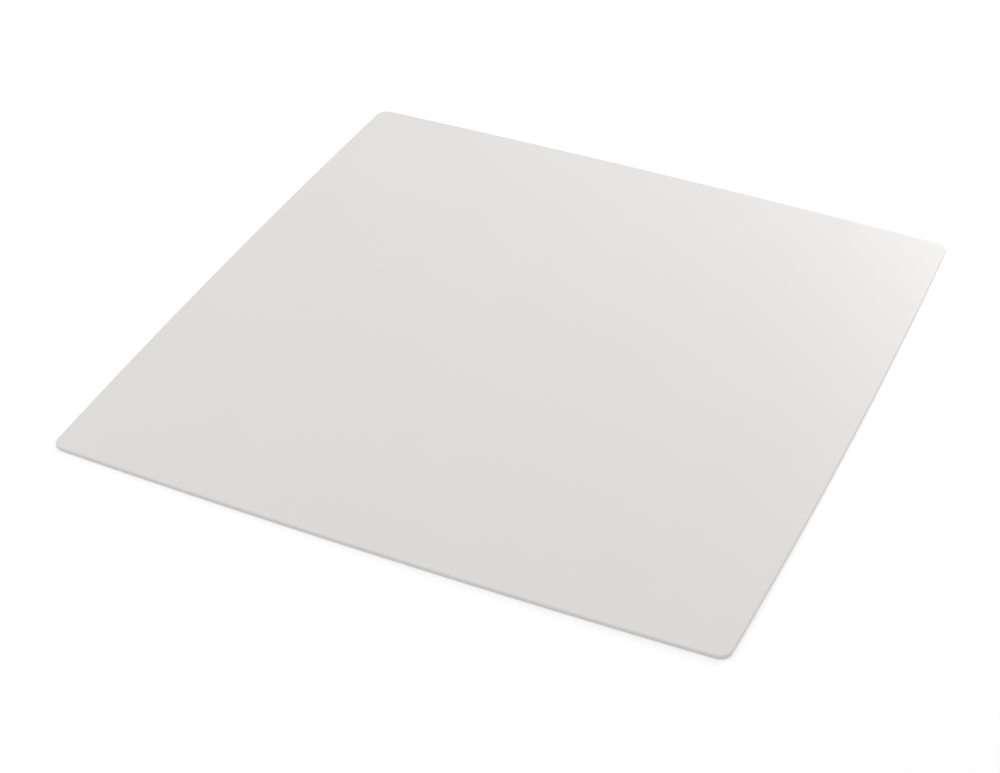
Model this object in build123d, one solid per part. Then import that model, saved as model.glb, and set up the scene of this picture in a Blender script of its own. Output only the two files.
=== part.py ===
from build123d import *
import os

# Chair mat: a rigid plastic sheet with a thin non-slip rubber backing let into its underside.
# Frame: the origin is on the floor under the mat's centre, +Z is up, and the sides face X and Y.
# Units are millimetres.

# Driving dimensions of the whole mat
OVERALL_SIDE = 1000.0       # from mid-side to mid-side, the same both ways
THICKNESS = 5.0             # from the floor to the top surface
SIDE_BOW = 8.2              # how far each side bulges past the line between its two corners
CORNER_RADIUS = 17.5        # plan radius where two sides meet

# The sheet
TOP_EDGE_RADIUS = 2.25      # round-over along the top edge
BOTTOM_EDGE_RADIUS = 0.3    # breaks the bottom edge
RIM_WIDTH = 12.0            # flat rim left round the recess in the underside

# The backing, whose face is flush with the rim
BACKING_THICKNESS = 1.5
BACKING_GAP = 0.5           # between the backing's edge and the recess wall, all round
BACKING_EDGE_CHAMFER = 0.2  # breaks the backing's bottom edge


def plan(inset):
    """The mat's plan, drawn in evenly by inset: four bowed sides that meet in rounded corners."""
    mid_side = OVERALL_SIDE / 2
    corner = mid_side - SIDE_BOW
    side_radius = (corner ** 2 + SIDE_BOW ** 2) / (2 * SIDE_BOW)
    # Each side is an arc of a large circle, turned so that the circle's seam lies well off the mat.
    disc = Pos(mid_side - side_radius, 0) * Rot(0, 0, 180) * Circle(side_radius - inset)
    outline = disc
    for turn in (90, 180, 270):
        outline &= Rot(0, 0, turn) * disc
    return fillet(outline.vertices(), CORNER_RADIUS - inset)


def slab(inset, bottom, top):
    """A flat plate of the mat's plan, drawn in by inset, between two heights."""
    return extrude(Pos(0, 0, bottom) * plan(inset), amount=top - bottom)


def mat_sheet():
    """The rigid sheet, with its rounded edges and the shallow recess that holds the backing."""
    blank = slab(0, 0, THICKNESS)
    blank = fillet(blank.faces().sort_by(Axis.Z)[-1].edges(), TOP_EDGE_RADIUS)
    blank = fillet(blank.faces().sort_by(Axis.Z)[0].edges(), BOTTOM_EDGE_RADIUS)
    recess = slab(RIM_WIDTH, 0, BACKING_THICKNESS)
    return blank - recess


def grip_backing():
    """The rubber layer, bonded to the roof of the recess and resting on the floor."""
    layer = slab(RIM_WIDTH + BACKING_GAP, 0, BACKING_THICKNESS)
    return chamfer(layer.faces().sort_by(Axis.Z)[0].edges(), BACKING_EDGE_CHAMFER)


NODES = {
    "mat_sheet": mat_sheet,
    "grip_backing": grip_backing,
}

os.makedirs("parts", exist_ok=True)
for name, make in NODES.items():
    part = make()
    part.label = name
    export_step(part, f"parts/{name}.step")
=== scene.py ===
"""The looks of the chair mat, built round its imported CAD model. Units are metres."""
import math

import bpy
from mathutils import Matrix, Vector


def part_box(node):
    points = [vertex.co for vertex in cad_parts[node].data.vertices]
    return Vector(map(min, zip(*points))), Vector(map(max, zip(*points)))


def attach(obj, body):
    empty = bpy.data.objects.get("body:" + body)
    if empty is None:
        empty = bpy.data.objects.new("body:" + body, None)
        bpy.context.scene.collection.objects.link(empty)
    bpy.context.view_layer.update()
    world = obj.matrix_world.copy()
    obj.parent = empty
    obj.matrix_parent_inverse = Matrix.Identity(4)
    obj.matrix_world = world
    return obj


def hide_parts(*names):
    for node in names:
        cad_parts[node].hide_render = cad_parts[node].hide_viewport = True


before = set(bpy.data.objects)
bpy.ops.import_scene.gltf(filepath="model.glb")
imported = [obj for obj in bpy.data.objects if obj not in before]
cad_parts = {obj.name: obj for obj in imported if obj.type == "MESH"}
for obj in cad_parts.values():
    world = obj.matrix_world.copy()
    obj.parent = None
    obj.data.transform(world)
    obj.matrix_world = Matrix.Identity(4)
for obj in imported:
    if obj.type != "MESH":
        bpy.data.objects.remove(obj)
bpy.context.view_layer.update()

MM = 0.001

# Shape of the mat's plan, as the CAD model has it
SIDE_BOW = 8.2 * MM             # how far a side bulges past the line between its corners
CORNER_RADIUS = 17.5 * MM

# Section of the sheet's edge
TOP_EDGE_RADIUS = 2.25 * MM
BOTTOM_EDGE_RADIUS = 0.3 * MM
RIM_WIDTH = 12.0 * MM           # flat rim round the recess in the underside
EDGE_STEPS = 12                 # facets round the top edge
SMALL_EDGE_STEPS = 5            # facets round the bottom edge
SUPPORT = 0.4 * MM              # spacing of the rings that keep the flat faces flat in shading
TOP_SUPPORT = 4 * SUPPORT       # the same, for the second ring in from the top edge
SHEET_SHARP_ANGLE = math.radians(40)

# The backing and its grip pads
BACKING_GAP = 0.5 * MM          # between the backing and the recess wall
BACKING_CHAMFER = 0.2 * MM
BAND_WIDTH = 3.8 * MM           # plain band round the backing's edge
GROOVE_DEPTH = 0.5 * MM         # between the grip pads
GROOVE_SLOPE = 0.4 * MM         # how far a groove's wall leans
PAD_SHARE = 0.80                # a pad's width as a share of the pitch
PAD_CORNER_CUT = 0.24           # how much of a pad's half width its cut corners take
PAD_EDGE = 0.12 * MM            # small edge break round a pad's face
BACKING_SHARP_ANGLE = math.radians(30)

# Mesh density
SHEET_STEPS = 64                # along each side of the sheet
BACKING_STEPS = 60              # along each side of the backing: one grip pad per step
CORNER_STEPS = 16

# The sheet's plastic
SHEET_COLOUR = (0.614, 0.604, 0.594)
SHEET_TONES = (0.992, 1.008)    # the colour's darkest and lightest shares
SHEET_CLOUD_SIZE = 180 * MM
SHEET_CLOUD_SHARE = 0.6         # of the mottling; the specks are the rest of it
SHEET_SPECK_SIZE = 1.5 * MM
SHEET_SPECK_SHARE = 0.4
SHEET_ROUGHNESS = (0.40, 0.46)  # varies slowly over the sheet
SHEET_SWIRL_SIZE = 60 * MM      # of those slow changes
GRAIN_SIZE = 0.9 * MM
GRAIN_DEPTH = 0.012 * MM
GRAIN_ROUGHNESS = 0.04          # added where the grain is high
FINE_GRAIN_SIZE = 0.35 * MM
FINE_GRAIN_DEPTH = 0.004 * MM
SHEET_IOR = 1.49

# The backing's rubber
RUBBER_COLOUR = (0.17, 0.17, 0.172)
RUBBER_TONES = (0.91, 1.08)     # the colour's darkest and lightest shares
RUBBER_CLOUD_SIZE = 70 * MM
RUBBER_DUST_SIZE = 4 * MM
RUBBER_CLOUD_SHARE = 0.5
RUBBER_DUST_SHARE = 0.5
RUBBER_ROUGHNESS = (0.62, 0.82)
RUBBER_SKIN_SIZE = 0.5 * MM
RUBBER_SKIN_DEPTH = 0.04 * MM
RUBBER_IOR = 1.52

# Noise gathers round a half; its useful part lies between these two
NOISE_LOW = 0.3
NOISE_HIGH = 0.7
CELL_SMOOTHNESS = 0.6           # rounds the edges between the cells of a grain

# Stage
FLOOR_HALF = 12.0
FLOOR_COLOUR = (0.915, 0.915, 0.915)
WORLD_COLOUR = (1.0, 1.0, 1.0)
WORLD_STRENGTH = 0.805

# Square soft lights, which all face the middle of the mat; powers are in watts
SOFTBOXES = {
    "overhead": {"location": (0.0, 0.0, 3.0), "size": 3.0, "power": 18.4},
    "side": {"location": (-3.0, 0.0, 2.2), "size": 2.0, "power": 26.5},
    "near": {"location": (0.6, 1.3, 0.7), "size": 0.8, "power": 4.7},
    "low_back": {"location": (0.81, 3.02, 0.66), "size": 1.6, "power": 28.0},
}

# Camera
AZIMUTH = math.radians(25.120)  # 0 looks along +Y
ELEVATION = math.radians(37.959)
ROLL = math.radians(-0.304)
LOOK_AT = Vector((9.7 * MM, -112.3 * MM, 0.0))
DISTANCE = 3.053
SENSOR_WIDTH_MM = 36.0
LENS_MM = 77.45


# ---------------------------------------------------------------- plan

def all_round(quarter):
    """A quarter of an outline, repeated at each quarter turn."""
    points = []
    for _ in range(4):
        points += quarter
        quarter = [(-y, x) for x, y in quarter]
    return points


class Plan:
    """The mat's outline: four bowed sides of one radius, joined by round corners."""

    def __init__(self, half_side):
        half_chord = half_side - SIDE_BOW
        self.side_radius = (half_chord ** 2 + SIDE_BOW ** 2) / (2 * SIDE_BOW)
        self.side_centre = half_side - self.side_radius
        # A corner's centre is on the diagonal, and this far from the centres of both its sides.
        reach = self.side_radius - CORNER_RADIUS
        half_way = math.sqrt(2 * reach ** 2 - self.side_centre ** 2)
        self.corner_centre = (self.side_centre + half_way) / 2
        self.turn = math.atan2(self.corner_centre, self.corner_centre - self.side_centre)

    def side(self, inset, steps):
        """Points along the +X side, drawn in by inset, from its -Y end to its +Y end."""
        radius = self.side_radius - inset
        angles = [self.turn * (2 * i / steps - 1) for i in range(steps + 1)]
        return [(self.side_centre + radius * math.cos(a), radius * math.sin(a)) for a in angles]

    def corner(self, inset):
        """Points between the ends of the +X and +Y sides, round their corner."""
        radius = CORNER_RADIUS - inset
        sweep = math.pi / 2 - 2 * self.turn
        angles = [self.turn + sweep * i / CORNER_STEPS for i in range(1, CORNER_STEPS)]
        centre = self.corner_centre
        return [(centre + radius * math.cos(a), centre + radius * math.sin(a)) for a in angles]

    def ring(self, inset, steps):
        """The whole outline, drawn in by inset, anticlockwise from the -Y end of the +X side."""
        return all_round(self.side(inset, steps) + self.corner(inset))

    def patch(self, steps):
        """A grid of points that fills the plan inside the corner radius, as patch[row][column]."""
        right = self.side(CORNER_RADIUS, steps)
        edge = right[0][0]
        grid = []
        for row in range(steps + 1):
            v = right[row][1]
            line = []
            for column in range(steps + 1):
                u = right[column][1]
                bulge_x = (right[row][0] - edge) * u / edge
                bulge_y = (right[column][0] - edge) * v / edge
                line.append((u + bulge_x, v + bulge_y))
            grid.append(line)
        return grid


# ---------------------------------------------------------------- mesh building

class Shell:
    """Collects vertices and faces for one closed mesh."""

    def __init__(self, plan, steps):
        self.plan = plan
        self.steps = steps
        self.verts = []
        self.faces = []

    def add(self, points):
        first = len(self.verts)
        self.verts += points
        return list(range(first, len(self.verts)))

    def ring(self, inset, z):
        return self.add([(x, y, z) for x, y in self.plan.ring(inset, self.steps)])

    def bridge(self, lower, upper, up=True):
        """Quads between two rings; the upper one lies further along the section."""
        count = len(lower)
        for i in range(count):
            j = (i + 1) % count
            self.face((lower[i], lower[j], upper[j], upper[i]), up)

    def section(self, profile):
        """Sweeps a list of (inset, z) round the plan and returns its first and last rings."""
        rings = [self.ring(inset, z) for inset, z in profile]
        for lower, upper in zip(rings, rings[1:]):
            self.bridge(lower, upper)
        return rings[0], rings[-1]

    def patch(self, z):
        return [self.add([(x, y, z) for x, y in line]) for line in self.plan.patch(self.steps)]

    def join_patch(self, ring, grid, up):
        """Faces from a ring in to the border of a patch, with a fan at each corner."""
        n = self.steps
        quarter = n + CORNER_STEPS
        borders = [
            [grid[i][n] for i in range(n + 1)],
            [grid[n][n - i] for i in range(n + 1)],
            [grid[n - i][0] for i in range(n + 1)],
            [grid[0][i] for i in range(n + 1)],
        ]
        for side, border in enumerate(borders):
            start = side * quarter
            for i in range(n):
                self.face((ring[start + i], ring[start + i + 1], border[i + 1], border[i]), up)
            for i in range(n, quarter):
                after = (start + i + 1) % len(ring)
                self.face((ring[start + i], ring[after], border[n]), up)

    def face(self, corners, up):
        """Adds a face, with its corners in the order given if it looks up and reversed if down."""
        self.faces.append(corners if up else corners[::-1])

    def cell(self, grid, row, column):
        """The four corners of one cell of a patch, anticlockwise from above."""
        return (grid[row][column], grid[row][column + 1],
                grid[row + 1][column + 1], grid[row + 1][column])

    def make(self, name, material, sharp_angle):
        mesh = bpy.data.meshes.new(name)
        mesh.from_pydata(self.verts, [], self.faces)
        mesh.materials.append(material)
        mesh.shade_smooth()
        mesh.set_sharp_from_angle(angle=sharp_angle)
        mesh.validate()
        piece = bpy.data.objects.new(name, mesh)
        bpy.context.scene.collection.objects.link(piece)
        return piece


def rounding(radius, steps):
    """Points of a quarter round about the origin, as (x, y), from the Y axis to the X axis."""
    angles = [math.pi / 2 * i / steps for i in range(steps + 1)]
    return [(radius * math.sin(a), radius * math.cos(a)) for a in angles]


# ---------------------------------------------------------------- the sheet

def sheet_profile(rim_bottom, top, recess_roof):
    """The sheet's section, from the recess roof out round the edge and in over the top."""
    low = BOTTOM_EDGE_RADIUS
    high = TOP_EDGE_RADIUS
    profile = [(RIM_WIDTH + SUPPORT, recess_roof), (RIM_WIDTH, recess_roof)]
    profile += [(RIM_WIDTH, rim_bottom), (RIM_WIDTH - SUPPORT, rim_bottom)]
    profile += [(low + SUPPORT, rim_bottom)]
    profile += [(low - x, rim_bottom + low - y) for x, y in rounding(low, SMALL_EDGE_STEPS)]
    profile += [(high - y, top - high + x) for x, y in rounding(high, EDGE_STEPS)]
    profile += [(high + SUPPORT, top), (high + TOP_SUPPORT, top)]
    return profile


def build_sheet(plan, material):
    low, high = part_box("mat_sheet")
    recess_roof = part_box("grip_backing")[1].z
    shell = Shell(plan, SHEET_STEPS)
    inner, outer = shell.section(sheet_profile(low.z, high.z, recess_roof))
    shell.faces.append(tuple(inner[::-1]))
    grid = shell.patch(high.z)
    shell.join_patch(outer, grid, up=True)
    for row in range(SHEET_STEPS):
        for column in range(SHEET_STEPS):
            shell.face(shell.cell(grid, row, column), up=True)
    return shell.make("mat_sheet_finished", material, SHEET_SHARP_ANGLE)


# ---------------------------------------------------------------- the backing

def pad_ring(centre, across, along, share, z):
    """Eight points round a grip pad: a square with cut corners, share of the cell in size."""
    cut = 1 - PAD_CORNER_CUT
    points = []
    for a, b in all_round([(1, -cut), (1, cut)]):
        spot = centre + across * (a * share) + along * (b * share)
        points.append((spot.x, spot.y, z))
    return points


def add_pad(shell, corners, groove_z, floor_z):
    """One grip pad in one cell: the groove floor round it, its leaning walls and its flat face."""
    spots = [Vector(shell.verts[c]) for c in corners]
    centre = sum(spots, Vector()) / 4
    across = (spots[1] + spots[2] - spots[0] - spots[3]) / 4
    along = (spots[2] + spots[3] - spots[0] - spots[1]) / 4
    lean = GROOVE_SLOPE / across.length
    edge = PAD_EDGE / across.length
    base = shell.add(pad_ring(centre, across, along, PAD_SHARE, groove_z))
    shoulder = shell.add(pad_ring(centre, across, along, PAD_SHARE - lean, floor_z + PAD_EDGE))
    face = shell.add(pad_ring(centre, across, along, PAD_SHARE - lean - edge, floor_z))
    for side in range(4):
        start, end = corners[(side + 1) % 4], corners[(side + 2) % 4]
        first, second, third = base[2 * side], base[2 * side + 1], base[(2 * side + 2) % 8]
        shell.face((start, end, second, first), up=False)
        shell.face((end, third, second), up=False)
    shell.bridge(base, shoulder, up=False)
    shell.bridge(shoulder, face, up=False)
    shell.face(tuple(face), up=False)


def build_backing(plan, material):
    low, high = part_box("grip_backing")
    edge = RIM_WIDTH + BACKING_GAP
    band = edge + BACKING_CHAMFER + BAND_WIDTH
    groove_z = low.z + GROOVE_DEPTH
    shell = Shell(plan, BACKING_STEPS)
    profile = [
        (band + GROOVE_SLOPE, groove_z),
        (band, low.z + PAD_EDGE),
        (band - PAD_EDGE, low.z),
        (edge + BACKING_CHAMFER, low.z),
        (edge, low.z + BACKING_CHAMFER),
        (edge, high.z),
    ]
    inner, outer = shell.section(profile)
    shell.faces.append(tuple(outer))
    grid = shell.patch(groove_z)
    shell.join_patch(inner, grid, up=False)
    for row in range(BACKING_STEPS):
        for column in range(BACKING_STEPS):
            add_pad(shell, shell.cell(grid, row, column), groove_z, low.z)
    return shell.make("grip_backing_finished", material, BACKING_SHARP_ANGLE)


# ---------------------------------------------------------------- materials

class Material:
    """A node material, with short calls for the nodes that the finishes share."""

    def __init__(self, name):
        self.material = bpy.data.materials.new(name)
        self.material.use_nodes = True
        self.tree = self.material.node_tree
        self.shader = self.tree.nodes["Principled BSDF"]
        self.coordinates = self.tree.nodes.new("ShaderNodeTexCoord").outputs["Object"]

    def link(self, output, target):
        self.tree.links.new(output, target)

    def noise(self, size, detail=2.0, roughness=0.5):
        """Noise whose features are about size metres across."""
        node = self.tree.nodes.new("ShaderNodeTexNoise")
        node.inputs["Scale"].default_value = 1 / size
        node.inputs["Detail"].default_value = detail
        node.inputs["Roughness"].default_value = roughness
        self.link(self.coordinates, node.inputs["Vector"])
        return node.outputs["Fac"]

    def pits(self, size):
        """Rounded cells about size metres across."""
        node = self.tree.nodes.new("ShaderNodeTexVoronoi")
        node.feature = "SMOOTH_F1"
        node.inputs["Scale"].default_value = 1 / size
        node.inputs["Smoothness"].default_value = CELL_SMOOTHNESS
        self.link(self.coordinates, node.inputs["Vector"])
        return node.outputs["Distance"]

    def spread(self, value, low, high, to_low, to_high):
        """Maps the range low to high on to the range to_low to to_high."""
        node = self.tree.nodes.new("ShaderNodeMapRange")
        node.inputs["From Min"].default_value = low
        node.inputs["From Max"].default_value = high
        node.inputs["To Min"].default_value = to_low
        node.inputs["To Max"].default_value = to_high
        self.link(value, node.inputs["Value"])
        return node.outputs["Result"]

    def combine(self, operation, first, second):
        node = self.tree.nodes.new("ShaderNodeMath")
        node.operation = operation
        for socket, value in zip(node.inputs, (first, second)):
            if isinstance(value, (int, float)):
                socket.default_value = value
            else:
                self.link(value, socket)
        return node.outputs["Value"]

    def ramp(self, value, stops):
        """Colours by value: stops are (place, colour)."""
        node = self.tree.nodes.new("ShaderNodeValToRGB")
        elements = node.color_ramp.elements
        while len(elements) < len(stops):
            elements.new(0.5)
        for element, (place, colour) in zip(elements, stops):
            element.position = place
            element.color = (*colour, 1)
        self.link(value, node.inputs["Fac"])
        return node.outputs["Color"]

    def mottle(self, first, first_share, second, second_share):
        """Two noises added in the given shares."""
        return self.combine("ADD", self.combine("MULTIPLY", first, first_share),
                            self.combine("MULTIPLY", second, second_share))

    def colour(self, mottling, colour, tones):
        """Colours the surface from the darkest to the lightest of its tones."""
        dark, light = (tuple(channel * tone for channel in colour) for tone in tones)
        self.link(self.ramp(mottling, [(NOISE_LOW, dark), (NOISE_HIGH, light)]),
                  self.shader.inputs["Base Color"])

    def bump(self, height, depth, under=None):
        """A bump whose full range of height is depth metres, over the bump given as under."""
        node = self.tree.nodes.new("ShaderNodeBump")
        node.inputs["Distance"].default_value = depth
        node.inputs["Strength"].default_value = 1.0
        self.link(height, node.inputs["Height"])
        if under is not None:
            self.link(under, node.inputs["Normal"])
        return node.outputs["Normal"]


def sheet_plastic():
    """Opaque light-grey plastic: satin, with a fine moulded grain."""
    plastic = Material("sheet_plastic")
    clouds = plastic.noise(SHEET_CLOUD_SIZE, detail=3)
    specks = plastic.noise(SHEET_SPECK_SIZE, detail=2)
    mottling = plastic.mottle(clouds, SHEET_CLOUD_SHARE, specks, SHEET_SPECK_SHARE)
    plastic.colour(mottling, SHEET_COLOUR, SHEET_TONES)
    grain = plastic.pits(GRAIN_SIZE)
    swirl = plastic.noise(SHEET_SWIRL_SIZE, detail=2)
    roughness = plastic.combine("ADD", plastic.spread(swirl, NOISE_LOW, NOISE_HIGH, *SHEET_ROUGHNESS),
                                plastic.spread(grain, 0, 1, 0, GRAIN_ROUGHNESS))
    plastic.link(roughness, plastic.shader.inputs["Roughness"])
    plastic.shader.inputs["IOR"].default_value = SHEET_IOR
    pitted = plastic.bump(grain, GRAIN_DEPTH)
    fine_grain = plastic.noise(FINE_GRAIN_SIZE, detail=1)
    grained = plastic.bump(fine_grain, FINE_GRAIN_DEPTH, under=pitted)
    plastic.link(grained, plastic.shader.inputs["Normal"])
    return plastic.material


def backing_rubber():
    """Matt dark-grey rubber, slightly mottled, with a dry moulded skin."""
    rubber = Material("backing_rubber")
    clouds = rubber.noise(RUBBER_CLOUD_SIZE, detail=4)
    dust = rubber.noise(RUBBER_DUST_SIZE, detail=4, roughness=0.7)
    mottling = rubber.mottle(clouds, RUBBER_CLOUD_SHARE, dust, RUBBER_DUST_SHARE)
    rubber.colour(mottling, RUBBER_COLOUR, RUBBER_TONES)
    rubber.link(rubber.spread(dust, NOISE_LOW, NOISE_HIGH, *RUBBER_ROUGHNESS),
                rubber.shader.inputs["Roughness"])
    rubber.shader.inputs["IOR"].default_value = RUBBER_IOR
    skin = rubber.noise(RUBBER_SKIN_SIZE, detail=3)
    rubber.link(rubber.bump(skin, RUBBER_SKIN_DEPTH), rubber.shader.inputs["Normal"])
    return rubber.material


# ---------------------------------------------------------------- stage

def build_floor():
    corners = all_round([(-FLOOR_HALF, -FLOOR_HALF)])
    mesh = bpy.data.meshes.new("floor")
    mesh.from_pydata([(x, y, 0) for x, y in corners], [], [(0, 1, 2, 3)])
    material = bpy.data.materials.new("floor")
    material.use_nodes = True
    shader = material.node_tree.nodes["Principled BSDF"]
    shader.inputs["Base Color"].default_value = (*FLOOR_COLOUR, 1)
    shader.inputs["Roughness"].default_value = 1.0
    shader.inputs["Specular IOR Level"].default_value = 0.0
    mesh.materials.append(material)
    floor = bpy.data.objects.new("floor", mesh)
    bpy.context.scene.collection.objects.link(floor)


def build_world():
    world = bpy.data.worlds.new("studio")
    world.use_nodes = True
    background = world.node_tree.nodes["Background"]
    background.inputs["Color"].default_value = (*WORLD_COLOUR, 1)
    background.inputs["Strength"].default_value = WORLD_STRENGTH
    bpy.context.scene.world = world


def softbox(name, location, size, power):
    """A square soft light at location that faces the middle of the mat."""
    data = bpy.data.lights.new(name, "AREA")
    data.shape = "SQUARE"
    data.size = size
    data.energy = power
    light = bpy.data.objects.new(name, data)
    light.location = location
    light.rotation_euler = (-Vector(location)).to_track_quat("-Z", "Y").to_euler()
    light.visible_camera = False
    bpy.context.scene.collection.objects.link(light)


def build_camera():
    back = Vector((math.sin(AZIMUTH) * math.cos(ELEVATION),
                   -math.cos(AZIMUTH) * math.cos(ELEVATION),
                   math.sin(ELEVATION)))
    level_right = Vector((0, 0, 1)).cross(back).normalized()
    level_up = back.cross(level_right)
    right = level_right * math.cos(ROLL) + level_up * math.sin(ROLL)
    up = level_up * math.cos(ROLL) - level_right * math.sin(ROLL)
    data = bpy.data.cameras.new("camera")
    data.sensor_width = SENSOR_WIDTH_MM
    data.lens = LENS_MM
    camera = bpy.data.objects.new("camera", data)
    place = Matrix((right, up, back)).transposed().to_4x4()
    place.translation = LOOK_AT + back * DISTANCE
    camera.matrix_world = place
    bpy.context.scene.collection.objects.link(camera)
    bpy.context.scene.camera = camera


# ---------------------------------------------------------------- assembly

build_camera()
plan = Plan(half_side=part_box("mat_sheet")[1].x)

sheet = build_sheet(plan, sheet_plastic())
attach(sheet, "root")
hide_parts("mat_sheet")

backing = build_backing(plan, backing_rubber())
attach(backing, "root")
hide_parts("grip_backing")

build_floor()
build_world()
for light_name, softbox_values in SOFTBOXES.items():
    softbox(light_name, **softbox_values)
bpy.context.scene.view_settings.view_transform = "Standard"
